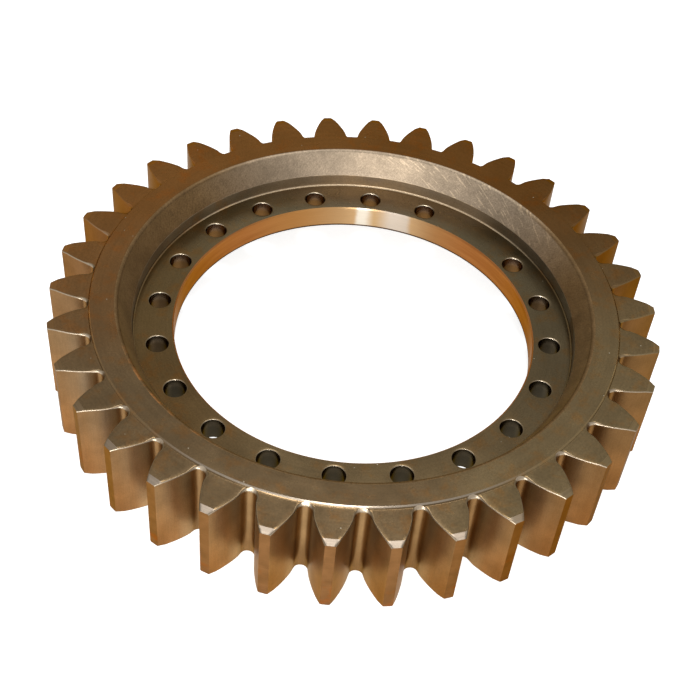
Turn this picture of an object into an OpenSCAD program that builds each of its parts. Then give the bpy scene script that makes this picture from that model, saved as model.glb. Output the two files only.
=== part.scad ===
// Spur ring gear: a toothed rim round a recessed, drilled and bored flange, turned and cut from one piece.
// The gear lies on its underside, with the origin on its axis at the bottom and +Z along the axis.
// A tooth space and the bolt position that is left undrilled both lie on +Y.

/* [Teeth] */
// Number of teeth
teeth = 34; // [32:1:60]
// Module: the pitch diameter divided by the number of teeth
tooth_module = 12; // [11.25:0.25:16]
// Pressure angle of the involute flanks, in degrees
pressure_angle = 25; // [20:0.5:28]
// Height of the tip above the pitch circle, in modules
addendum = 1; // [0.8:0.05:1.1]
// Depth of the root below the pitch circle, in modules
dedendum = 1.25; // [1.1:0.05:1.35]
// Radius of the root fillet, in modules, which ends as a full round where the space is narrower
root_fillet = 0.375; // [0.2:0.005:0.4]
// Length of the teeth along the axis
face_w = 65; // [54:1:120]
// Turned chamfer at the ends of the tooth tips, measured down the tooth
tip_chamfer_r = 4.7; // [1:0.1:8]
// Turned chamfer at the ends of the tooth tips, measured along the axis
tip_chamfer_z = 1; // [0.3:0.1:4]

/* [Rim] */
// Height of the turned land above the ends of the teeth
land_rise = 1.8; // [0.5:0.1:5]
// Distance from the root circle in to the edge of the land
land_inset = 2; // [1:0.5:4]
// Radius on the mouth of each recess
mouth_round = 3; // [1:0.5:4]

/* [Recesses] */
// Depth from the land down to the flange
recess_depth = 27.8; // [18:0.1:38]
// Height of the straight turned wall above the flange
wall_h = 10; // [4:0.5:14]
// Draft of the conical part of each recess, from the axis, in degrees
draft = 27.8; // [5:0.1:36]
// Radius at the foot of each recess
foot_fillet = 1.2; // [0.5:0.1:3]

/* [Flange and bore] */
// Diameter of the bore
bore_d = 260; // [180:1:276]
// Chamfer at both ends of the bore
bore_chamfer = 1; // [0.2:0.1:1.5]
// Width of the flange from the bore to the wall of the recess
flange_w = 29; // [24:0.5:38]
// Thickness of the flange
flange_t = 18.5; // [10:0.5:28]

/* [Bolt holes] */
// Number of evenly spaced bolt positions, the first of which is left undrilled
positions = 20; // [10:1:24]
// Diameter of each bolt hole
hole_d = 15.5; // [8:0.5:16]
// Distance from the wall of the bore out to the bolt circle
bolt_inset = 12.5; // [10:0.5:16]
// Chamfer at both ends of each bolt hole
hole_chamfer = 0.6; // [0.2:0.1:1]

/* [Hidden] */

// Steps along a flank, round a root fillet and round a turned corner
flank_steps = 10;
fillet_steps = 6;
corner_steps = 5;
// Facets of the round faces
round_fn = 240;
hole_fn = 64;
// How far a cutter reaches past the face that it cuts
past = 2;
// Halvings in the search for the widest root fillet
halvings = 24;

steel = [0.47, 0.40, 0.31];

// Direction of the undrilled bolt position and of the first tooth space
first_angle = 90;
tooth_pitch = 360 / teeth;
bolt_pitch = 360 / positions;

pitch_r = tooth_module * teeth / 2;
tip_r = pitch_r + addendum * tooth_module;
root_r = pitch_r - dedendum * tooth_module;
base_r = pitch_r * cos(pressure_angle);

land_z = face_w + land_rise;
floor_z = land_z - recess_depth;
back_z = floor_z - flange_t;

land_r = root_r - land_inset;
bore_r = bore_d / 2;
wall_r = bore_r + flange_w;
mouth_r = wall_r + (recess_depth - wall_h) * tan(draft);
under_mouth_r = wall_r + back_z * tan(draft);
bolt_circle_r = bore_r + bolt_inset;

// Geometry of the involute: the angle between the base point and a point at radius r, in degrees
function base_angle(r) = acos(base_r / r);
function involute(r) = tan(base_angle(r)) * 180 / PI - base_angle(r);
// Half the angle that a tooth spans at radius r
function half_tooth(r) = tooth_pitch / 4 + involute(pitch_r) - involute(r);
// Angle from the middle of a tooth space to its flank at radius r
function half_gap(r) = tooth_pitch / 2 - half_tooth(r);

// Angle from the middle of a tooth space to the centre of a root fillet of radius rho.
// That centre lies on an involute of the same base circle, turned by rho along that circle.
function fillet_angle(rho) = half_gap(root_r + rho) - rho / base_r * 180 / PI;
// The radius at which the two root fillets of a space become one full round
function full_round(low, high, n) =
    let (mid = (low + high) / 2)
    n == 0 ? low :
    fillet_angle(mid) > 0 ? full_round(mid, high, n - 1) : full_round(low, mid, n - 1);

fillet_r = min(root_fillet * tooth_module, full_round(tooth_module / 10, tooth_module, halvings));
fillet_centre_r = root_r + fillet_r;
fillet_centre_angle = fillet_angle(fillet_r);

function polar(r, angle) = r * [cos(angle), sin(angle)];
function flipped(points) = [for (i = [len(points) - 1:-1:0]) [points[i].x, -points[i].y]];

// One side of a tooth space about the +X axis: the root fillet, then the flank out past the tip
function space_side() =
    let (
        centre = polar(fillet_centre_r, fillet_centre_angle),
        normal = fillet_centre_angle + base_angle(fillet_centre_r) + 90,
        inward = fillet_centre_angle + 180,
        start = sqrt(pow(fillet_centre_r, 2) - pow(base_r, 2)) - fillet_r,
        finish = sqrt(pow(tip_r + past, 2) - pow(base_r, 2))
    )
    concat(
        [for (i = [0:fillet_steps - 1])
            centre + polar(fillet_r, inward + (normal - inward) * i / fillet_steps)],
        [for (i = [0:flank_steps])
            let (
                roll = start + (finish - start) * i / flank_steps,
                r = sqrt(pow(base_r, 2) + pow(roll, 2))
            )
            polar(r, half_gap(r))]
    );

// The points that round corner b of an outline between its neighbours a and c
function unit(v) = v / norm(v);
function rounded(a, b, c, radius) =
    let (
        u = unit(a - b),
        v = unit(c - b),
        half = acos(u * v) / 2,
        centre = b + unit(u + v) * radius / sin(half),
        from = b + u * radius / tan(half) - centre,
        to = b + v * radius / tan(half) - centre,
        from_angle = atan2(from.y, from.x),
        turn = (atan2(to.y, to.x) - from_angle + 540) % 360 - 180
    )
    [for (i = [0:corner_steps]) centre + polar(radius, from_angle + turn * i / corner_steps)];

// Outline of half the section, radius across and height up
module section() {
    outer_foot = [tip_r - tip_chamfer_r, 0];
    land_corner = [land_r, land_z];
    mouth = [mouth_r, land_z];
    cone_foot = [wall_r, floor_z + wall_h];
    wall_foot = [wall_r, floor_z];
    bore_top = [bore_r + bore_chamfer, floor_z];
    bore_bottom = [bore_r + bore_chamfer, back_z];
    under_foot = [wall_r, back_z];
    under_mouth = [under_mouth_r, 0];
    polygon(concat(
        [outer_foot],
        [[tip_r, tip_chamfer_z]],
        [[tip_r, face_w - tip_chamfer_z]],
        [[tip_r - tip_chamfer_r, face_w]],
        [[land_r, face_w]],
        [land_corner],
        rounded(land_corner, mouth, cone_foot, mouth_round),
        [cone_foot],
        rounded(cone_foot, wall_foot, bore_top, foot_fillet),
        [bore_top],
        [[bore_r, floor_z - bore_chamfer]],
        [[bore_r, back_z + bore_chamfer]],
        [bore_bottom],
        rounded(bore_bottom, under_foot, under_mouth, foot_fillet),
        rounded(under_foot, under_mouth, outer_foot, mouth_round)
    ));
}

module blank() {
    rotate_extrude($fn = round_fn) section();
}

module tooth_space() {
    side = space_side();
    translate([0, 0, -past])
        linear_extrude(height = land_z + 2 * past)
            polygon(concat(side, flipped(side)));
}

module bolt_hole() {
    translate([0, 0, back_z - past])
        cylinder(d = hole_d, h = flange_t + 2 * past, $fn = hole_fn);
    translate([0, 0, floor_z - hole_chamfer])
        cylinder(d1 = hole_d, d2 = hole_d + 4 * hole_chamfer, h = 2 * hole_chamfer, $fn = hole_fn);
    translate([0, 0, back_z - hole_chamfer])
        cylinder(d1 = hole_d + 4 * hole_chamfer, d2 = hole_d, h = 2 * hole_chamfer, $fn = hole_fn);
}

module ring_gear() {
    color(steel)
        difference() {
            blank();
            for (i = [0:teeth - 1])
                rotate(first_angle + i * tooth_pitch) tooth_space();
            for (i = [1:positions - 1])
                rotate(first_angle + i * bolt_pitch)
                    translate([bolt_circle_r, 0, 0]) bolt_hole();
        }
}

ring_gear();
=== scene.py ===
"""A spur ring gear of machined steel, lying on its underside on a pale floor.

The gear is one mesh in the CAD's frame, with its deburred edges, rounded corners and drilled holes.
Lengths on the gear are in millimetres. The lamps and the floor are in metres.
"""
import math

import bmesh
import bpy
import numpy as np
from mathutils import Matrix, Vector


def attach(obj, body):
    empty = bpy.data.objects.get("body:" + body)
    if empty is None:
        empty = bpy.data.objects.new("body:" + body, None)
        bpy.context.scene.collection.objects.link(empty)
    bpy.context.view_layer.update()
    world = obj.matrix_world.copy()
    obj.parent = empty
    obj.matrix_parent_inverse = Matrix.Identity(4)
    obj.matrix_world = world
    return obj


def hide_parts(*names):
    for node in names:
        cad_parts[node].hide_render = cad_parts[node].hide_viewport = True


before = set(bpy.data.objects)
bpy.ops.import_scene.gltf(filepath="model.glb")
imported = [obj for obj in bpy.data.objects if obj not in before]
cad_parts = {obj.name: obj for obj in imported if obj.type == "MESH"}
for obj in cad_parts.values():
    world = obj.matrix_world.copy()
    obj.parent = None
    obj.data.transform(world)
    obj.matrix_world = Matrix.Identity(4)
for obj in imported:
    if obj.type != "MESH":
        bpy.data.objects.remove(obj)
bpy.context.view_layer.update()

MM = 0.001
TURN = 2 * math.pi

# Teeth
TEETH = 34
MODULE = 12.0
PRESSURE_ANGLE = math.radians(25)
ADDENDUM = 12.0
DEDENDUM = 15.0
ROOT_FILLET = 4.5
FACE_WIDTH = 65.0
TIP_CHAMFER_R = 4.7
TIP_CHAMFER_Z = 1.0

# Rim, recesses, flange and bore
LAND_Z = 66.8
LAND_INSET = 2.0
MOUTH_ROUND = 3.0
WALL_TOP_ROUND = 0.8
WALL_R = 159.0
WALL_H = 10.0
DRAFT = math.radians(27.8)
FOOT_FILLET = 1.2
FLOOR_Z = 39.0
BACK_Z = 20.5
BORE_R = 130.0
BORE_CHAMFER = 1.0

# Outline of the land's edge, from its chamfer down to its foot: radii, and heights above the teeth's ends
LAND_EDGE_R = (186.7, 187.6, 187.85, 188.1, 188.5)
LAND_EDGE_RISE = (1.8, 0.9, 0.3, 0.08, 0.0)
# Least distance between the rings of that edge where a tooth space cuts into it
LEAST_STEP = 0.02

# Bolt holes
POSITIONS = 20
HOLE_R = 7.75
HOLE_CIRCLE_R = 142.5
HOLE_CHAMFER = 0.75

# Width of the deburred edge of a tooth space, at its root and along its flanks
ROOT_EDGE = 1.6
FLANK_EDGE = 0.65
# Share of the way up a flank where the wide edge of the root ends
WIDE_SHARE = 0.25
# Share of an edge's width that the middle of its rounding stands in from the two faces
EDGE_MIDDLE = 0.36
# Keeps the round tips inside the facets of the CAD
INSIDE = 1 - 2e-5

# Divisions of the mesh
ROOT_STEPS = 7
FLANK_STEPS = 9
CHAMFER_STEPS = 2
FLANK_ROWS = 5
ACROSS = 6
CORNER_STEPS = 6
WALL_TOP_STEPS = 3
LAND_STEPS = 3
CONE_STEPS = 4
WALL_STEPS = 3
BORE_STEPS = 4
HOLE_STEPS = 3
SIDE_STEPS = 14
# Where the rings of faces between a sector of the flange and its hole lie
SPREAD = (0.35, 0.7, 1.0)

# Direction of the first tooth space and of the undrilled bolt position
FIRST_ANGLE = math.radians(90)

pitch = TURN / TEETH
pitch_r = MODULE * TEETH / 2
tip_r = pitch_r + ADDENDUM
root_r = pitch_r - DEDENDUM
base_r = pitch_r * math.cos(PRESSURE_ANGLE)
land_r = root_r - LAND_INSET
chamfer_r = tip_r - TIP_CHAMFER_R
mouth_r = WALL_R + (LAND_Z - FLOOR_Z - WALL_H) * math.tan(DRAFT)
under_mouth_r = WALL_R + BACK_Z * math.tan(DRAFT)


def involute(r):
    base_angle = math.acos(base_r / r)
    return math.tan(base_angle) - base_angle


def half_gap(r):
    """Angle from the middle of a tooth space to its flank at radius r."""
    return pitch / 4 - involute(pitch_r) + involute(r)


def edge_width(share):
    """Width of the deburred edge, from the root (0) to the tip (1)."""
    near = max(0.0, 1 - share / WIDE_SHARE)
    return FLANK_EDGE + (ROOT_EDGE - FLANK_EDGE) * near * near * (3 - 2 * near)


def space_side(share_of_edge):
    """(radius, angle) of the points from the middle of a tooth space up one side to the tip.

    The points are moved into the metal by that share of the edge's width.
    """
    centre_r = root_r + ROOT_FILLET
    centre_angle = half_gap(centre_r) - ROOT_FILLET / base_r
    centre = centre_r * np.array([math.cos(centre_angle), math.sin(centre_angle)])
    inward = centre_angle + math.pi
    normal = centre_angle + math.acos(base_r / centre_r) + math.pi / 2
    reach = ROOT_FILLET + share_of_edge * edge_width(0)
    out = [(root_r - share_of_edge * edge_width(0), 0.0)]
    for i in range(1, ROOT_STEPS + 1):
        turned_by = inward + (normal - inward) * i / ROOT_STEPS
        point = centre + reach * np.array([math.cos(turned_by), math.sin(turned_by)])
        out.append((math.hypot(*point), math.atan2(point[1], point[0])))
    start = math.sqrt(centre_r ** 2 - base_r ** 2) - ROOT_FILLET
    at_chamfer = math.sqrt(chamfer_r ** 2 - base_r ** 2)
    at_tip = math.sqrt(tip_r ** 2 - base_r ** 2)
    rolls = [start + (at_chamfer - start) * i / FLANK_STEPS for i in range(1, FLANK_STEPS + 1)]
    rolls += [at_chamfer + (at_tip - at_chamfer) * i / CHAMFER_STEPS for i in range(1, CHAMFER_STEPS + 1)]
    for i, roll in enumerate(rolls, 1):
        r = math.hypot(base_r, roll)
        out.append((r, half_gap(r) + share_of_edge * edge_width(i / len(rolls)) / base_r))
    return np.array(out)


def rounded(before, corner, after, radius, steps=CORNER_STEPS):
    """The points that round the corner of an outline."""
    before, corner, after = (np.array(p, float) for p in (before, corner, after))
    u = (before - corner) / np.linalg.norm(before - corner)
    v = (after - corner) / np.linalg.norm(after - corner)
    half = math.acos(float(u @ v)) / 2
    middle = (u + v) / np.linalg.norm(u + v)
    centre = corner + middle * radius / math.sin(half)
    first = corner + u * radius / math.tan(half) - centre
    final = corner + v * radius / math.tan(half) - centre
    a0 = math.atan2(first[1], first[0])
    turn = (math.atan2(final[1], final[0]) - a0 + 3 * math.pi) % TURN - math.pi
    angles = a0 + turn * np.arange(steps + 1) / steps
    return centre + radius * np.stack([np.cos(angles), np.sin(angles)], 1)


def between(a, b, steps):
    """Points from a to b, both left out."""
    a, b = np.array(a, float), np.array(b, float)
    return [tuple(a + (b - a) * i / steps) for i in range(1, steps)]


class Net:
    """Collects the vertices and faces of one mesh. A face's zone picks its material."""

    def __init__(self):
        self.points, self.faces, self.zones, self.count = [], [], [], 0

    def add(self, r, angle, z):
        r, angle, z = np.broadcast_arrays(r, angle, z)
        return self.add_points(np.stack([r * np.cos(angle), r * np.sin(angle), z], -1))

    def add_points(self, points):
        shape = points.shape[:-1]
        n = int(np.prod(shape))
        self.points.append(points.reshape(-1, 3))
        self.count += n
        return np.arange(self.count - n, self.count).reshape(shape)

    def all_points(self):
        return np.concatenate(self.points)

    def strip(self, a, b, zone, closed=False):
        """Quads between two rows of vertices. Rows may have leading axes, one strip for each."""
        if closed:
            a, b = (np.concatenate([x, x[..., :1]], -1) for x in (a, b))
        quads = np.stack([a[..., :-1], a[..., 1:], b[..., 1:], b[..., :-1]], -1).reshape(-1, 4)
        self.faces.append(quads)
        self.zones.append(np.full(len(quads), ZONES.index(zone)))

    def strips(self, rows, zone, closed=False):
        for a, b in zip(rows[:-1], rows[1:]):
            self.strip(a, b, zone, closed)


ZONES = ["face", "land_edge", "cone", "wall", "flange", "bore", "hole", "flank", "edge", "tip_chamfer",
         "tip"]
net = Net()

# Tooth spaces: the angles of their middles, and the steps from the middle of one to its tip
gap_angles = FIRST_ANGLE + pitch * np.arange(TEETH)
half_steps = ROOT_STEPS + FLANK_STEPS + CHAMFER_STEPS


def both_sides(side):
    """(radius, angle) of a whole tooth space, from the tip on one side to the tip on the other."""
    mirrored = side[:0:-1] * [1, -1]
    return np.concatenate([mirrored, side])


def end_height(r):
    """How far the end of a tooth lies below its plane at radius r, because of the turned chamfer."""
    return np.maximum(0, r - chamfer_r) * TIP_CHAMFER_Z / TIP_CHAMFER_R


def land_rise(r):
    """How far the edge of the land rises above the ends of the teeth at radius r."""
    return np.interp(r, LAND_EDGE_R, LAND_EDGE_RISE)


face_line, middle_line, flank_line = (both_sides(space_side(s)) for s in (1.0, EDGE_MIDDLE, 0.0))
steps_from_middle = np.abs(np.arange(-half_steps, half_steps + 1))
flank_shares = np.maximum(0, steps_from_middle - ROOT_STEPS) / (FLANK_STEPS + CHAMFER_STEPS)
edge_widths = np.array([edge_width(s) for s in flank_shares])


def space_row(line, z):
    """Vertices along every tooth space, at those heights."""
    return net.add(line[None, :, 0], gap_angles[:, None] + line[None, :, 1], z[None, :])


def edge_rows(top):
    """The rows of vertices from the end face over the edge to the flank, at the top or the bottom."""
    rows = []
    for line, s in ((face_line, 0.0), (middle_line, EDGE_MIDDLE), (flank_line, 1.0)):
        depth = end_height(line[:, 0]) + s * edge_widths
        rows.append(space_row(line, FACE_WIDTH + land_rise(line[:, 0]) - depth if top else depth))
    return rows


top_rows, bottom_rows = edge_rows(True), edge_rows(False)
top_z = FACE_WIDTH - end_height(flank_line[:, 0]) - edge_widths
bottom_z = end_height(flank_line[:, 0]) + edge_widths
down_shares = np.linspace(0, 1, FLANK_ROWS + 1)[1:-1]
flank_rows = [space_row(flank_line, top_z + (bottom_z - top_z) * s) for s in down_shares]
net.strips(top_rows, "edge")
net.strips([top_rows[-1], *flank_rows, bottom_rows[-1]], "flank")
net.strips(bottom_rows[::-1], "edge")


def tooth_row(left, right, r, z):
    """A row across every tooth, from the last vertex of one space to the first of the next.

    left and right are vertex numbers; what lies between is new, at radius r and height z.
    """
    step = np.arange(1, ACROSS) / ACROSS
    points = net.all_points()
    a, b = points[left], points[right]
    a_angle = np.arctan2(a[:, 1], a[:, 0])
    turn = (np.arctan2(b[:, 1], b[:, 0]) - a_angle) % TURN
    new = net.add(r, a_angle[:, None] + turn[:, None] * step, z)
    return np.concatenate([left[:, None], new, right[:, None]], 1)


def tooth_end(row, top):
    """Faces on the end of every tooth. Returns the ring of vertices at its foot, and the row at its tip."""
    following = np.roll(row, -1, 0)
    grid = []
    for k in range(ROOT_STEPS, half_steps + 1):
        r = face_line[half_steps + k, 0]
        depth = float(end_height(r))
        z = FACE_WIDTH - depth if top else depth
        grid.append(tooth_row(row[:, half_steps + k], following[:, half_steps - k], r, z))
    net.strips(grid[:FLANK_STEPS + 1], "face")
    net.strips(grid[FLANK_STEPS:], "tip_chamfer")
    ring = np.concatenate([row[:, half_steps:half_steps + ROOT_STEPS + 1], grid[0][:, 1:-1],
                           following[:, half_steps - ROOT_STEPS:half_steps]], 1)
    return ring.reshape(-1), grid[-1]


top_ring, top_tip_row = tooth_end(top_rows[0], True)
bottom_ring, bottom_tip_row = tooth_end(bottom_rows[0], False)

# Tip lands, between the rows at the two ends
tip_rows = [top_tip_row]
for row in [*top_rows[1:], *flank_rows, *bottom_rows[:0:-1]]:
    left, right = row[:, -1], np.roll(row, -1, 0)[:, 0]
    z = net.all_points()[left][:, 2]
    tip_rows.append(tooth_row(left, right, tip_r, z[:, None]))
tip_rows.append(bottom_tip_row)
net.strips(tip_rows, "tip")

# Angles of the columns: those of the teeth outside, and even ones inside
ring_points = net.all_points()[top_ring]
tooth_angles = np.unwrap(np.arctan2(ring_points[:, 1], ring_points[:, 0]))
tooth_angles += FIRST_ANGLE - tooth_angles[0]
column_count = len(tooth_angles)
even_angles = FIRST_ANGLE + TURN * np.arange(column_count) / column_count


def turned(start, outline, zone):
    """Faces of revolution from a ring along an outline of (radius, height). Returns the last ring."""
    ring = start
    for r, z in outline:
        new = net.add(r, even_angles, z)
        net.strip(ring, new, zone, closed=True)
        ring = new
    return ring


# The upper side, from the foot of the teeth to the flange
ring, ring_r = top_ring, np.hypot(ring_points[:, 0], ring_points[:, 1])
for k, r in enumerate(LAND_EDGE_R[::-1]):
    within = np.minimum(r, ring_r - LEAST_STEP * (k + 1))
    new = net.add(within, tooth_angles, FACE_WIDTH + land_rise(within))
    net.strip(ring, new, "land_edge" if k else "face", closed=True)
    ring = new
land_corner, mouth = (LAND_EDGE_R[0], LAND_Z), (mouth_r, LAND_Z)
cone_foot, wall_foot = (WALL_R, FLOOR_Z + WALL_H), (WALL_R, FLOOR_Z)
mouth_edge = rounded(land_corner, mouth, cone_foot, MOUTH_ROUND)
wall_edge = rounded(mouth, cone_foot, wall_foot, WALL_TOP_ROUND, WALL_TOP_STEPS)
foot = rounded(cone_foot, wall_foot, (BORE_R, FLOOR_Z), FOOT_FILLET)
ring = turned(ring, [*between(land_corner, mouth_edge[0], LAND_STEPS), mouth_edge[0]], "face")
cone_line = between(mouth_edge[-1], wall_edge[0], CONE_STEPS)
ring = turned(ring, [*mouth_edge[1:], *cone_line, wall_edge[0]], "cone")
wall_line = between(wall_edge[-1], foot[0], WALL_STEPS)
floor_ring = turned(ring, [*wall_edge[1:], *wall_line, *foot], "wall")

# The underside, from the foot of the teeth to the flange
ring = net.add(land_r, tooth_angles, 0.0)
net.strip(bottom_ring, ring, "face", closed=True)
under_mouth, under_foot = (under_mouth_r, 0), (WALL_R, BACK_Z)
under_edge = rounded((land_r, 0), under_mouth, under_foot, MOUTH_ROUND)
under_fillet = rounded(under_mouth, under_foot, (BORE_R, BACK_Z), FOOT_FILLET)
ring = turned(ring, [*between((land_r, 0), under_edge[0], LAND_STEPS), under_edge[0]], "face")
cone_line = between(under_edge[-1], under_fillet[0], CONE_STEPS)
ring = turned(ring, [*under_edge[1:], *cone_line, under_fillet[0]], "cone")
back_ring = turned(ring, under_fillet[1:], "wall")

# The bore
bore_top = net.add(BORE_R + BORE_CHAMFER, even_angles, FLOOR_Z)
bore_wall = [(BORE_R, FLOOR_Z - BORE_CHAMFER), (BORE_R, BACK_Z + BORE_CHAMFER)]
bore_line = [bore_wall[0], *between(*bore_wall, BORE_STEPS), bore_wall[1]]
bore_bottom = turned(bore_top, [*bore_line, (BORE_R + BORE_CHAMFER, BACK_Z)], "bore")

columns_each = column_count // POSITIONS
loop_length = 2 * columns_each + 2 * SIDE_STEPS


def flange_face(outer, inner, z):
    """One face of the flange, with a hole in every sector but the first.

    Returns the middle angle of each hole, the angles round it and the ring of vertices round it.
    """
    points = net.all_points()
    outer_r = float(np.hypot(*points[outer[0], :2]))
    inner_r = float(np.hypot(*points[inner[0], :2]))
    shares = np.arange(1, SIDE_STEPS) / SIDE_STEPS
    starts = (np.arange(POSITIONS) * columns_each - columns_each // 2) % column_count
    side_r = outer_r + (inner_r - outer_r) * shares
    sides = net.add(side_r[None, :], even_angles[starts][:, None], z)
    holes = []
    for b in range(POSITIONS):
        columns = (starts[b] + np.arange(columns_each + 1)) % column_count
        first, second = sides[b], sides[(b + 1) % POSITIONS]
        if b == 0:
            inside = net.add(side_r[:, None], even_angles[columns[1:-1]][None, :], z)
            rows = [np.concatenate([first[s:s + 1], inside[s], second[s:s + 1]])
                    for s in range(SIDE_STEPS - 1)]
            net.strips([outer[columns], *rows, inner[columns]], "flange")
            continue
        loop = np.concatenate([outer[columns], second, inner[columns][::-1], first[::-1]])
        loop_points = net.all_points()[loop]
        middle = FIRST_ANGLE + TURN * b / POSITIONS
        half = TURN / 2 * columns_each / loop_length
        around = middle - half + TURN * np.arange(loop_length) / loop_length
        circle = np.stack([np.cos(around), np.sin(around), 0 * around], -1) * (HOLE_R + HOLE_CHAMFER)
        circle += [HOLE_CIRCLE_R * math.cos(middle), HOLE_CIRCLE_R * math.sin(middle), z]
        rows = [loop, *(net.add_points(loop_points * (1 - t) + circle * t) for t in SPREAD)]
        net.strips(rows, "flange", closed=True)
        holes.append((middle, around, rows[-1]))
    return holes


upper_holes = flange_face(floor_ring, bore_top, FLOOR_Z)
lower_holes = flange_face(back_ring, bore_bottom, BACK_Z)

# The walls of the holes, with a softened chamfer at each end
soft = HOLE_CHAMFER * EDGE_MIDDLE
hole_wall = [(HOLE_R, FLOOR_Z - HOLE_CHAMFER), (HOLE_R, BACK_Z + HOLE_CHAMFER)]
hole_outline = [(HOLE_R + soft, FLOOR_Z - soft), hole_wall[0], *between(*hole_wall, HOLE_STEPS),
                hole_wall[1], (HOLE_R + soft, BACK_Z + soft)]
for (middle, around, upper), (_, _, lower) in zip(upper_holes, lower_holes):
    rows = [upper]
    for r, z in hole_outline:
        points = np.stack([r * np.cos(around), r * np.sin(around), 0 * around + z], -1)
        points[:, :2] += [HOLE_CIRCLE_R * math.cos(middle), HOLE_CIRCLE_R * math.sin(middle)]
        rows.append(net.add_points(points))
    net.strips([*rows, lower], "hole", closed=True)

# The mesh: the angle from which an edge is sharp, and how much a large face outweighs a small one
SHARP = math.radians(40)
WEIGHT_OF_LARGE_FACES = 90

mesh = bpy.data.meshes.new("gear_body")
coordinates = net.all_points() * [MM * INSIDE, MM * INSIDE, MM]
all_faces = np.concatenate(net.faces)
mesh.from_pydata(coordinates.tolist(), [], all_faces.tolist())
mesh.polygons.foreach_set("material_index", np.concatenate(net.zones).astype(np.int32))
mesh.polygons.foreach_set("use_smooth", np.ones(len(all_faces), bool))
gear = bpy.data.objects.new("gear_body", mesh)
bpy.context.scene.collection.objects.link(gear)

bm = bmesh.new()
bm.from_mesh(mesh)
bmesh.ops.recalc_face_normals(bm, faces=bm.faces)
open_edges = sum(1 for e in bm.edges if len(e.link_faces) != 2)
print("gear mesh:", len(bm.verts), "vertices,", len(bm.faces), "faces,", open_edges, "open edges,",
      round(bm.calc_volume() / MM ** 3), "mm3")
chamfer_border = {ZONES.index("tip_chamfer"), ZONES.index("face")}
for e in bm.edges:
    zones = {f.material_index for f in e.link_faces}
    e.smooth = e.calc_face_angle(0) < SHARP and zones != chamfer_border
bm.to_mesh(mesh)
bm.free()
weighted = gear.modifiers.new("face_normals", "WEIGHTED_NORMAL")
weighted.keep_sharp = True
weighted.weight = WEIGHT_OF_LARGE_FACES

# Tint of the reflections at grazing angles, and that of the flanks
GRAZING_TINT = (0.50, 0.42, 0.32)
FLANK_GRAZING_TINT = (0.60, 0.51, 0.40)
# The part of a noise's range that holds most of its values
MIDDLE_HALF = (0.25, 0.75)


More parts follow.
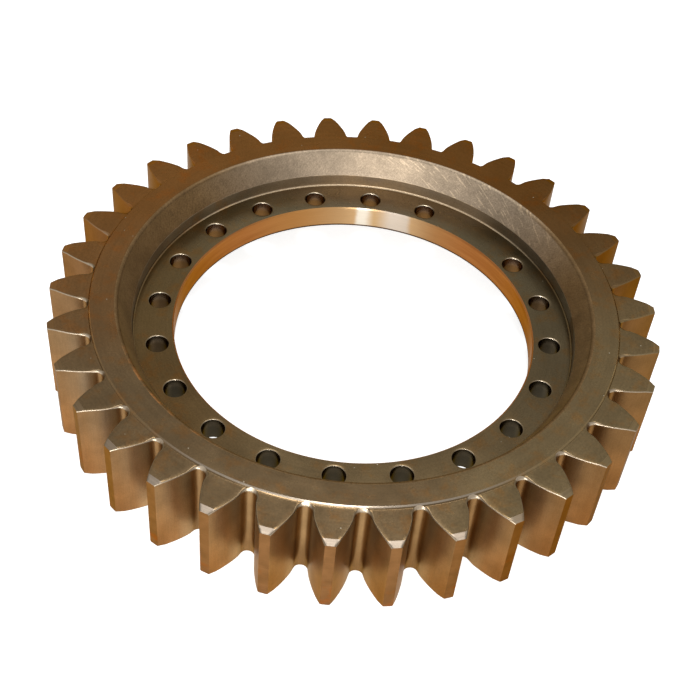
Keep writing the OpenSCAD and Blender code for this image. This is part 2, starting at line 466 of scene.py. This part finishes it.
class Shading:
    """Builds one material's nodes. A socket or a number may stand wherever a value is asked for."""

    def __init__(self, name):
        self.material = bpy.data.materials.new(name)
        self.material.use_nodes = True
        self.tree = self.material.node_tree
        self.shader = self.tree.nodes["Principled BSDF"]
        coordinates = self.node("ShaderNodeTexCoord").outputs
        self.place, self.normal = coordinates["Object"], coordinates["Normal"]
        parts = self.node("ShaderNodeSeparateXYZ", Vector=self.place).outputs
        self.x, self.y, self.z = parts["X"], parts["Y"], parts["Z"]
        self.r = self.math("SQRT", self.add(self.times(self.x, self.x), self.times(self.y, self.y)))
        self.cos = self.math("DIVIDE", self.x, self.r)
        self.sin = self.math("DIVIDE", self.y, self.r)

    def node(self, kind, settings=None, **inputs):
        made = self.tree.nodes.new(kind)
        for key, value in (settings or {}).items():
            setattr(made, key, value)
        for key, value in inputs.items():
            self.give(made.inputs[key.replace("_", " ")], value)
        return made

    def give(self, socket, value):
        if isinstance(value, bpy.types.NodeSocket):
            self.tree.links.new(value, socket)
        elif isinstance(value, tuple) and len(value) == 3 and socket.type == "RGBA":
            socket.default_value = (*value, 1)
        else:
            socket.default_value = value

    def math(self, operation, a, b=0.0):
        made = self.node("ShaderNodeMath", {"operation": operation})
        self.give(made.inputs[0], a)
        self.give(made.inputs[1], b)
        return made.outputs[0]

    def add(self, a, b):
        return self.math("ADD", a, b)

    def times(self, a, b):
        return self.math("MULTIPLY", a, b)

    def ramp(self, value, low, high, start=0.0, end=1.0):
        """value's way from low to high, smoothed, as start to end."""
        made = self.node("ShaderNodeMapRange", {"interpolation_type": "SMOOTHSTEP"}, Value=value,
                         From_Min=low, From_Max=high, To_Min=start, To_Max=end)
        return made.outputs[0]

    def height(self, low, high):
        """From 0 at one height to 1 at another, in millimetres."""
        return self.ramp(self.z, low * MM, high * MM)

    def radius(self, low, high):
        """From 0 at one radius to 1 at another, in millimetres."""
        return self.ramp(self.r, low * MM, high * MM)

    def vector(self, x, y, z):
        return self.node("ShaderNodeCombineXYZ", X=x, Y=y, Z=z).outputs[0]

    def noise(self, vector, scale=1.0, detail=2.0, roughness=0.5):
        """Noise from 0 to 1, with that many cells to a unit of the vector."""
        return self.node("ShaderNodeTexNoise", Vector=vector, Scale=scale, Detail=detail,
                         Roughness=roughness).outputs["Fac"]

    def grain(self, scale=900.0):
        """A fine grain, with that many cells to a metre."""
        return self.noise(self.place, scale, 2.0, 0.6)

    def wander(self, scale, reach):
        """A smooth shift to both sides of 0, with its whole range in millimetres."""
        return self.times(self.add(self.noise(self.place, scale, 2.0), -0.5), reach * MM)

    def turning(self, across, along=3.0):
        """Fine marks that run round the axis, that many to a metre across them."""
        outward = self.add(self.times(self.r, across), self.times(self.z, across))
        place = self.vector(outward, self.times(self.cos, along), self.times(self.sin, along))
        return self.noise(place, 1.0, 3.0, 0.6)

    def mix(self, a, b, share, blend="MIX"):
        made = self.node("ShaderNodeMix", {"data_type": "RGBA", "blend_type": blend, "clamp_factor": True})
        self.give(made.inputs[0], share)
        self.give(made.inputs[6], a)
        self.give(made.inputs[7], b)
        return made.outputs[2]

    def tint(self, colour, factor, share=1.0):
        """colour multiplied by another colour or by one value, to that share."""
        if not isinstance(factor, tuple):
            factor = self.vector(factor, factor, factor)
        return self.mix(colour, factor, share, "MULTIPLY")

    def shade(self, colour, low, high, pattern):
        """colour made darker and lighter by a pattern from 0 to 1."""
        return self.tint(colour, self.ramp(pattern, *MIDDLE_HALF, low, high))

    def bump(self, pattern, height):
        """Relief of a pattern, with its height in millimetres."""
        return self.node("ShaderNodeBump", Strength=1.0, Distance=height * MM, Height=pattern).outputs[0]

    def finish(self, colour, roughness, normal=None, grazing=GRAZING_TINT):
        self.give(self.shader.inputs["Base Color"], colour)
        self.give(self.shader.inputs["Roughness"], roughness)
        self.give(self.shader.inputs["Metallic"], 1.0)
        self.give(self.shader.inputs["Specular Tint"], grazing)
        if normal:
            self.give(self.shader.inputs["Normal"], normal)
        return self.material


# Directions are the photograph's: azimuth from the camera's right, counter-clockwise from above
PHOTO_TURN = math.radians(37.11)
RIGHT, FAR, NEAR = 0, 90, 270
# Direction towards which the painted warm reflection grows
PAINTED_REFLECTION_AZIMUTH = 104


def towards(m, azimuth):
    """How far a point lies towards that azimuth of the photograph, in metres."""
    a = math.radians(azimuth) + PHOTO_TURN
    return m.add(m.times(m.x, math.cos(a)), m.times(m.y, math.sin(a)))


def side(m, azimuth, start, end, first=0.0, final=1.0):
    """From 0 to 1 between two distances towards that azimuth, in millimetres."""
    return m.ramp(towards(m, azimuth), start * MM, end * MM, first, final)


def painted_far_reflection(m, start=-100, end=140):
    """Share of the painted warm reflection, from 0 at the near side of the gear to 1 at the far side."""
    return m.ramp(m.add(towards(m, PAINTED_REFLECTION_AZIMUTH), m.wander(9.0, 160)), start * MM, end * MM)


# Dust: the colour of its specks, the cells to a metre that may hold one, and the share that holds none
DUST = (0.40, 0.36, 0.28)
DUST_CELLS = 110.0
WITHOUT_DUST = 0.6


def dusty(m, colour, size=0.5):
    """colour under sparse specks of light dust, with a radius in millimetres."""
    cell = m.node("ShaderNodeTexVoronoi", Vector=m.place, Scale=DUST_CELLS)
    number = m.node("ShaderNodeSeparateColor", Color=cell.outputs["Color"]).outputs[0]
    chosen = m.math("GREATER_THAN", number, WITHOUT_DUST)
    reach = size * MM * DUST_CELLS
    speck = m.ramp(cell.outputs["Distance"], reach, reach * 0.5)
    return m.mix(colour, DUST, m.times(speck, chosen))


# Colours of the upper faces at the near side, the right and the far side; their differences are painted
# reflection and shade
NEAR_FACE = (0.104, 0.069, 0.035)
RIGHT_FACE = (0.124, 0.088, 0.044)
FAR_FACE = (0.120, 0.054, 0.017)
# What an orange stain does to the colour of the steel
STAIN = (1.16, 0.95, 0.74)


def skin_with_painted_light(m, near=NEAR_FACE, right=RIGHT_FACE, far=FAR_FACE, right_from=40):
    """The steel's colour: real stains, with painted reflection and shade in its near, right and far tones.
    """
    # Painted shade: the far tone grows darker towards the right and lighter towards the back left
    level = side(m, 150, -200, 200, 0.62, 1.25)
    near = m.mix(near, right, side(m, RIGHT, right_from, right_from + 60))
    colour = m.mix(near, m.tint(far, level), painted_far_reflection(m))
    stains = m.ramp(m.noise(m.place, 70.0, 5.0, 0.65), 0.48, 0.70)
    return m.tint(colour, STAIN, stains)


def painted_front_highlight(m, painted_highlight, start, end, azimuth=NEAR, level=1.25):
    """The colour of an edge: a painted highlight towards the near side, and the faces' colour times a level
    elsewhere.
    """
    return m.mix(m.tint(skin_with_painted_light(m), level), painted_highlight, side(m, azimuth, start, end))


def facing_front(m, start, end):
    """1 where the surface faces the photograph's near side, and 0 where it doesn't."""
    a = math.radians(NEAR) + PHOTO_TURN
    parts = m.node("ShaderNodeSeparateXYZ", Vector=m.normal).outputs
    return m.ramp(m.add(m.times(parts["X"], math.cos(a)), m.times(parts["Y"], math.sin(a))), start, end)


# Turning marks to a metre on the faces and on the tips
FACE_MARKS = 700.0
TIP_MARKS = 1500.0
# How far the roughness of the faces varies to both sides
ROUGHNESS_SWING = 0.04
# Painted shade in the fillet at the foot of the recess: what it does to the colour, and its reach in radii
# of the fillet
FOOT_SHADE = (0.34, 0.28, 0.20)
FOOT_SHADE_REACH = 1.2


def turned_face(name, near, right, far, roughness, right_from=40, left=None, painted_light_far_end=None):
    """A turned face in the faces' colours, with their painted reflection and shade.

    In the recess, left multiplies the colour at the left, as painted light on the wall and painted shade on
    the flange; the colour given for the far end is painted light there, and the fillet at the foot takes
    painted shade.
    """
    m = Shading(name)
    lines = m.turning(FACE_MARKS)
    colour = skin_with_painted_light(m, near, right, far, right_from)
    if painted_light_far_end:
        # At the left of the recess: painted light on the wall, painted shade on the flange
        colour = m.tint(colour, left, side(m, 190, 50, 150))
        # Painted shade in the fillet at the foot, except at the far side
        reach = FOOT_FILLET * FOOT_SHADE_REACH
        foot = m.times(m.radius(WALL_R - reach, WALL_R - FOOT_FILLET),
                       m.height(FLOOR_Z + reach, FLOOR_Z + FOOT_FILLET))
        colour = m.tint(colour, FOOT_SHADE, m.times(foot, side(m, FAR, 120, 70)))
        # Painted light at the far end of the recess
        colour = m.mix(colour, painted_light_far_end, side(m, 86, 112, 150))
    colour = m.shade(colour, 0.94, 1.06, lines)
    colour = m.shade(colour, 0.86, 1.14, m.grain())
    colour = m.shade(colour, 0.93, 1.07, m.noise(m.place, 30.0, 3.0))
    colour = dusty(m, colour)
    smoothest, roughest = roughness - ROUGHNESS_SWING, roughness + ROUGHNESS_SWING
    rough = m.ramp(m.noise(m.place, 45.0, 3.0), 0.3, 0.7, smoothest, roughest)
    relief = m.add(lines, m.times(m.grain(), 0.6))
    return m.finish(colour, rough, normal=m.bump(relief, height=0.012))


def face():
    return turned_face("steel_face", NEAR_FACE, RIGHT_FACE, FAR_FACE, roughness=0.25)


def flange():
    # Painted light and shade: darker at the right and at the left, lighter at the far end
    near, right, far = (0.100, 0.069, 0.034), (0.076, 0.056, 0.030), (0.108, 0.088, 0.052)
    return turned_face("steel_flange", near, right, far, roughness=0.28, right_from=85,
                       left=(0.80, 0.68, 0.52), painted_light_far_end=(0.172, 0.130, 0.084))


def wall():
    # Painted light: lighter at the right, at the left and at the far end
    near, right, far = (0.190, 0.150, 0.088), (0.230, 0.195, 0.122), (0.21, 0.165, 0.11)
    return turned_face("steel_wall", near, right, far, roughness=0.46,
                       left=(1.30, 1.32, 1.32), painted_light_far_end=(0.35, 0.27, 0.18))


def land_edge():
    """The edge of the land: a painted highlight on its chamfer at the front, and painted light above its
    foot elsewhere.
    """
    m = Shading("steel_land_edge")
    bright = (0.245, 0.202, 0.156)
    painted_highlight = m.mix(NEAR_FACE, bright, m.height(LAND_Z - 1.0, LAND_Z - 0.8))
    above_foot = m.height(FACE_WIDTH + 0.1, FACE_WIDTH + 0.5)
    # Painted light: above the foot the colour is lifted, most of all away from the front
    level = m.add(1.1, m.times(above_foot, side(m, NEAR, 20, 100, 1.6, 0.4)))
    colour = painted_front_highlight(m, painted_highlight, 135, 180, level=level)
    return m.finish(m.shade(colour, 0.94, 1.08, m.grain()), roughness=0.26)


def cone():
    """The rough conical wall, with a glittering grain, slanting scratches, rust at its mouth and painted
    light.
    """
    m = Shading("steel_cone")
    oily, near, far = (0.140, 0.086, 0.038), (0.165, 0.108, 0.052), (0.218, 0.170, 0.120)
    dark_mouth, rusty_mouth = (0.103, 0.063, 0.029), (0.180, 0.084, 0.030)
    stroke_tint = (1.50, 1.50, 1.46)
    around = m.times(m.math("ARCTAN2", m.y, m.x), WALL_R * MM)
    slant = m.add(around, m.z)
    across = m.add(around, m.times(m.z, -1.0))
    scratches = m.noise(m.vector(m.times(slant, 1600.0), m.times(across, 120.0), 0.0), 1.0, 2.0, 0.7)
    fine = m.noise(m.place, 800.0, 3.0, 0.7)
    patches = m.noise(m.place, 60.0, 2.0, 0.6)
    # Painted light: lighter at the near side than at the sides, and much lighter at the far side
    colour = m.mix(oily, near, side(m, NEAR, -50, 50))
    colour = m.mix(colour, far, side(m, 80, 65, 155))
    # The rounded mouth is darker, except at the far side, with rust towards the left front
    mouth = m.times(m.height(LAND_Z - 2.4, LAND_Z - 1.2), side(m, 86, 140, 90))
    rust = m.times(side(m, 222, 155, 168), m.ramp(m.noise(m.place, 120.0, 3.0), 0.40, 0.60))
    colour = m.mix(colour, m.mix(dark_mouth, rusty_mouth, rust), mouth)
    colour = m.shade(colour, 0.87, 1.12, patches)
    colour = m.shade(colour, 0.78, 1.26, fine)
    colour = m.shade(colour, 0.88, 1.20, scratches)
    shallow = m.add(m.z, m.times(around, -0.5))
    strokes = m.noise(m.vector(m.times(shallow, 620.0), m.times(around, 90.0), 0.0), 1.0, 1.0)
    strokes = m.times(m.ramp(strokes, 0.58, 0.66), side(m, 58, 130, 165))
    colour = m.tint(colour, stroke_tint, strokes)
    relief = m.add(m.times(fine, 0.7), m.times(scratches, 0.5))
    return m.finish(colour, roughness=0.50, normal=m.bump(relief, height=0.06))


def bore():
    """The polished bore with fine turning marks, painted reflections at its far side and painted shade at
    its foot.
    """
    m = Shading("steel_bore")
    dark_oil, light_oil = (0.256, 0.094, 0.026), (0.314, 0.125, 0.037)
    left, middle, right = (0.325, 0.155, 0.046), (0.405, 0.262, 0.130), (0.295, 0.160, 0.062)
    wide_reflection, thin_reflection, bore_foot_shade = (0.437, 0.367, 0.298), (0.550, 0.490, 0.400), (0.045, 0.022, 0.009)
    lines = m.turning(2600.0, 6.0)
    rightward = m.add(towards(m, RIGHT), m.wander(150.0, 3))

    def reflection_stripe(start, full, still_full, end):
        """A painted reflection stripe: where it starts, is full, is still full and ends, in millimetres."""
        rise = m.ramp(rightward, start * MM, full * MM)
        return m.times(rise, m.ramp(rightward, end * MM, still_full * MM))

    oily = m.mix(dark_oil, light_oil, m.ramp(m.turning(260.0, 2.0), 0.35, 0.65))
    # Painted reflection: the far side takes tones that are lightest in the middle
    reflection_tones = m.mix(left, middle, m.ramp(rightward, -60 * MM, 8 * MM))
    reflection_tones = m.mix(reflection_tones, right, m.ramp(rightward, 36 * MM, 62 * MM))
    painted_highlight = side(m, 93, 95, 130)
    colour = m.mix(oily, reflection_tones, painted_highlight)
    # Painted reflections of the lamps, as two stripes
    colour = m.mix(colour, wide_reflection, m.times(painted_highlight, reflection_stripe(7, 22, 32.5, 38)))
    colour = m.mix(colour, thin_reflection, m.times(painted_highlight, reflection_stripe(-9.5, -5.3, -1, 7.5)))
    colour = m.shade(colour, 0.93, 1.06, lines)
    # Painted shade at the foot of the bore
    colour = m.mix(bore_foot_shade, colour, m.height(BACK_Z + 1.8, BACK_Z + 2.5))
    m.give(m.shader.inputs["Anisotropic"], 0.95)
    m.give(m.shader.inputs["Tangent"], m.vector(0.0, 0.0, 1.0))
    return m.finish(colour, roughness=0.28, normal=m.bump(lines, height=0.006))


def hole():
    """The drilled wall of a bolt hole, with painted shade, painted reflection and a painted highlight on
    its chamfer.
    """
    m = Shading("steel_hole")
    near_tone, deep_left, deep_near = (0.100, 0.080, 0.052), (0.032, 0.027, 0.018), (0.056, 0.047, 0.032)
    oily, far_depth_shade = (0.280, 0.188, 0.122), (0.124, 0.063, 0.021)
    dull_rim, bright_rim = (0.120, 0.088, 0.050), (0.44, 0.37, 0.28)
    lines = m.noise(m.vector(0.0, 0.0, m.times(m.z, 1800.0)), 1.0, 2.0)
    # Painted shade: the wall darkens further down the hole
    depth_shade = m.height(FLOOR_Z - 1, FLOOR_Z - 9)
    near_tone = m.mix(near_tone, m.mix(deep_left, deep_near, side(m, 285, 0, 100)), depth_shade)
    # Painted reflection: the far side takes warmer tones, also darker further down
    colour = m.mix(near_tone, m.mix(oily, far_depth_shade, depth_shade), painted_far_reflection(m, -40, 100))
    colour = m.shade(colour, 0.85, 1.15, lines)
    # Painted highlight on the chamfer where it faces the near side
    rim = m.height(FLOOR_Z - HOLE_CHAMFER, FLOOR_Z - HOLE_CHAMFER * 0.7)
    colour = m.mix(colour, m.mix(dull_rim, bright_rim, facing_front(m, 0.25, 0.65)), rim)
    return m.finish(colour, roughness=0.25)


def flank():
    """The flanks of the teeth, warmer down the root and towards the bottom, where the floor's reflection is
    painted.
    """
    m = Shading("steel_flank")
    low, high, root = (0.290, 0.150, 0.060), (0.206, 0.126, 0.062), (0.222, 0.130, 0.058)
    inner_painted_light, outer_painted_shade, front_painted_light = (1.30, 1.60, 2.00), (0.89, 0.81, 0.72), (1.28, 1.36, 1.42)
    right_painted_shade, far_painted_shade = (0.70, 0.60, 0.46), (0.72, 0.49, 0.35)
    # Painted reflection of the floor: warmer and lighter towards the bottom
    colour = m.mix(low, high, m.height(6, 58))
    colour = m.mix(colour, root, m.radius(root_r + 9, root_r + 1.5))
    # Painted light near the root and painted shade further out, at the front
    near = side(m, 262, 60, 140)
    inner = m.times(m.radius(root_r + 3, root_r + 6), m.radius(root_r + 17, root_r + 8))
    outer = m.radius(root_r + 17, root_r + 25)
    colour = m.tint(colour, inner_painted_light, m.times(near, inner))
    colour = m.tint(colour, outer_painted_shade, m.times(near, outer))
    # Painted shade at the right and at the far side, and painted light half way up at the front
    colour = m.tint(colour, right_painted_shade, side(m, 20, -170, 210))
    colour = m.tint(colour, far_painted_shade, side(m, 94, -60, 90))
    colour = m.tint(colour, front_painted_light, m.times(side(m, NEAR, 150, 190), m.height(8, 36)))
    grain = m.grain(1200.0)
    colour = m.shade(colour, 0.88, 1.12, m.noise(m.place, 60.0, 3.0))
    colour = m.shade(colour, 0.90, 1.10, grain)
    strokes = m.noise(m.vector(m.times(m.x, 1500.0), m.times(m.y, 1500.0), m.times(m.z, 60.0)), 1.0, 2.0)
    colour = dusty(m, m.shade(colour, 0.95, 1.05, strokes), size=0.3)
    normal = m.bump(m.add(m.times(strokes, 0.5), grain), height=0.012)
    return m.finish(colour, roughness=0.36, normal=normal, grazing=FLANK_GRAZING_TINT)


def edge():
    """The deburred edges of the teeth, with a painted highlight towards the near side and where they face
    it.
    """
    m = Shading("steel_edge")
    dull, bright = (0.145, 0.104, 0.061), (0.31, 0.250, 0.182)
    # Painted highlight where the edge faces the near side
    painted_highlight = m.mix(dull, bright, facing_front(m, 0.34, 0.60))
    colour = painted_front_highlight(m, painted_highlight, -30, 40, azimuth=258)
    return m.finish(m.shade(colour, 0.95, 1.05, m.grain()), roughness=0.33)


def tip_chamfer():
    """The turned chamfers at the ends of the tips, with a painted highlight at the front."""
    m = Shading("steel_tip_chamfer")
    bright = (0.186, 0.151, 0.117)
    lines = m.turning(TIP_MARKS)
    colour = m.shade(painted_front_highlight(m, bright, 125, 205, azimuth=265), 0.82, 1.16, lines)
    return m.finish(colour, roughness=0.30, normal=m.bump(lines, height=0.02))


def tip():
    """The tips of the teeth, with some rust low down and painted shade at the right."""
    m = Shading("steel_tip")
    low, high = (0.215, 0.105, 0.046), (0.193, 0.096, 0.040)
    right_painted_shade, rust_tint = (0.72, 0.62, 0.50), (1.22, 0.88, 0.62)
    colour = m.mix(low, high, m.height(2, 14))
    # Painted shade: darker at the right
    colour = m.tint(colour, right_painted_shade, side(m, RIGHT, 40, 130))
    rust = m.times(m.ramp(m.noise(m.place, 70.0, 3.0), 0.52, 0.66), m.height(34, 18))
    colour = m.tint(colour, rust_tint, rust)
    colour = m.shade(colour, 0.88, 1.12, m.noise(m.place, 120.0, 3.0))
    colour = m.shade(colour, 0.92, 1.08, m.turning(TIP_MARKS))
    return m.finish(colour, roughness=0.40)


# One material for each zone, in the order of ZONES
for look in (face, land_edge, cone, wall, flange, bore, hole, flank, edge, tip_chamfer, tip):
    mesh.materials.append(look())

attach(gear, "root")
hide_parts("ring_gear")

# Camera, as solved from the photograph: angles in radians, its distance and aim in tip radii, and pixels
CAMERA_ELEVATION = 0.79698
CAMERA_ROLL = 0.10377
CAMERA_DISTANCE = 4.00924
AIM = (0.0001, -0.24413)
FOCAL_PIXELS = 1268.14
IMAGE_PIXELS = 700
CENTRE_PIXELS = (350.889, 348.930)
# Width of its sensor, and the least distance that it sees, in metres
SENSOR_MM = 36.0
CLIP_START = 0.01


def turn_about_z(v, angle):
    c, s = math.cos(angle), math.sin(angle)
    return np.array([c * v[0] - s * v[1], s * v[0] + c * v[1], v[2]])


def place_camera():
    back = turn_about_z((0, -math.cos(CAMERA_ELEVATION), math.sin(CAMERA_ELEVATION)), PHOTO_TURN)
    level = turn_about_z((1, 0, 0), PHOTO_TURN)
    up = np.cross(back, level)
    right = math.cos(CAMERA_ROLL) * level + math.sin(CAMERA_ROLL) * up
    upward = math.cos(CAMERA_ROLL) * up - math.sin(CAMERA_ROLL) * level
    aim = (AIM[0] * tip_r * MM, AIM[1] * tip_r * MM, FACE_WIDTH * MM)
    where = turn_about_z(aim, PHOTO_TURN) + back * CAMERA_DISTANCE * tip_r * MM
    data = bpy.data.cameras.new("camera")
    data.sensor_width = SENSOR_MM
    data.lens = SENSOR_MM * FOCAL_PIXELS / IMAGE_PIXELS
    middle = (IMAGE_PIXELS - 1) / 2
    data.shift_x = -(CENTRE_PIXELS[0] - middle) / IMAGE_PIXELS
    data.shift_y = (CENTRE_PIXELS[1] - middle) / IMAGE_PIXELS
    data.clip_start = CLIP_START
    camera = bpy.data.objects.new("camera", data)
    rows = [[right[i], upward[i], back[i], where[i]] for i in range(3)] + [[0, 0, 0, 1]]
    camera.matrix_world = Matrix(rows)
    bpy.context.scene.collection.objects.link(camera)
    bpy.context.scene.camera = camera


# Soft boxes: azimuth and elevation in degrees, distance and size in metres, and radiance, where 1 is white
LAMPS = {
    "overhead": (88, 79, 1.3, (0.75, 0.36), 9.5),
    "front": (-89, 34, 1.5, (0.44, 0.34), 18.0),
    "low_near": (-88, 10, 1.6, (0.12, 0.30), 45.0),
    "low_left": (-108, 10, 1.6, (0.44, 0.30), 26.0),
}
LAMPS_AIM = Vector((0, 0, 0.04))


def lamp(name, azimuth, elevation, distance, size, radiance):
    """A soft box that faces the gear."""
    a, e = math.radians(azimuth) + PHOTO_TURN, math.radians(elevation)
    direction = Vector((math.cos(e) * math.cos(a), math.cos(e) * math.sin(a), math.sin(e)))
    data = bpy.data.lights.new(name, "AREA")
    data.shape = "RECTANGLE"
    data.size, data.size_y = size
    data.energy = radiance * math.pi * size[0] * size[1]
    light = bpy.data.objects.new(name, data)
    light.location = LAMPS_AIM + direction * distance
    light.rotation_euler = direction.to_track_quat("Z", "Y").to_euler()
    bpy.context.scene.collection.objects.link(light)


# Surroundings: the world's level as a light, the floor's own glow to the camera, its size and its drop
WORLD_LEVEL = 0.45
FLOOR_COLOUR = (0.8, 0.8, 0.8, 1)
FLOOR_GLOW = 0.7
FLOOR_SIZE = 8.0
FLOOR_DROP = 0.0002


def seen_by(tree, kinds):
    """1 for the kinds of rays that are named, and 0 for the others."""
    path = tree.nodes.new("ShaderNodeLightPath")
    seen = path.outputs[kinds[0]]
    for kind in kinds[1:]:
        either = tree.nodes.new("ShaderNodeMath")
        either.operation = "MAXIMUM"
        tree.links.new(seen, either.inputs[0])
        tree.links.new(path.outputs[kind], either.inputs[1])
        seen = either.outputs[0]
    return seen


def white_world():
    """A white world that lights matt surfaces less than it shows itself."""
    world = bpy.data.worlds.new("world")
    world.use_nodes = True
    bpy.context.scene.world = world
    tree = world.node_tree
    background = tree.nodes["Background"]
    strength = tree.nodes.new("ShaderNodeMapRange")
    strength.inputs["To Min"].default_value = WORLD_LEVEL
    strength.inputs["To Max"].default_value = 1.0
    tree.links.new(seen_by(tree, ("Is Camera Ray", "Is Glossy Ray", "Is Transmission Ray")),
                   strength.inputs["Value"])
    tree.links.new(strength.outputs["Result"], background.inputs["Strength"])
    background.inputs["Color"].default_value = (1, 1, 1, 1)


def white_floor():
    """A pale floor that is white to the camera away from the shadow."""
    plane = bpy.data.meshes.new("floor")
    corners = [(x * FLOOR_SIZE, y * FLOOR_SIZE, 0) for x, y in ((-1, -1), (1, -1), (1, 1), (-1, 1))]
    plane.from_pydata(corners, [], [(0, 1, 2, 3)])
    floor = bpy.data.objects.new("floor", plane)
    floor.location.z = -FLOOR_DROP
    bpy.context.scene.collection.objects.link(floor)
    material = bpy.data.materials.new("floor")
    material.use_nodes = True
    tree = material.node_tree
    tree.nodes.clear()
    out = tree.nodes.new("ShaderNodeOutputMaterial")
    both = tree.nodes.new("ShaderNodeAddShader")
    diffuse = tree.nodes.new("ShaderNodeBsdfDiffuse")
    diffuse.inputs["Color"].default_value = FLOOR_COLOUR
    glow = tree.nodes.new("ShaderNodeEmission")
    level = tree.nodes.new("ShaderNodeMath")
    level.operation = "MULTIPLY"
    level.inputs[1].default_value = FLOOR_GLOW
    tree.links.new(seen_by(tree, ("Is Camera Ray", "Is Glossy Ray")), level.inputs[0])
    tree.links.new(level.outputs[0], glow.inputs["Strength"])
    tree.links.new(diffuse.outputs[0], both.inputs[0])
    tree.links.new(glow.outputs[0], both.inputs[1])
    tree.links.new(both.outputs[0], out.inputs["Surface"])
    plane.materials.append(material)


place_camera()
white_world()
white_floor()
for lamp_name, values in LAMPS.items():
    lamp(lamp_name, *values)

bpy.context.scene.view_settings.view_transform = "Standard"
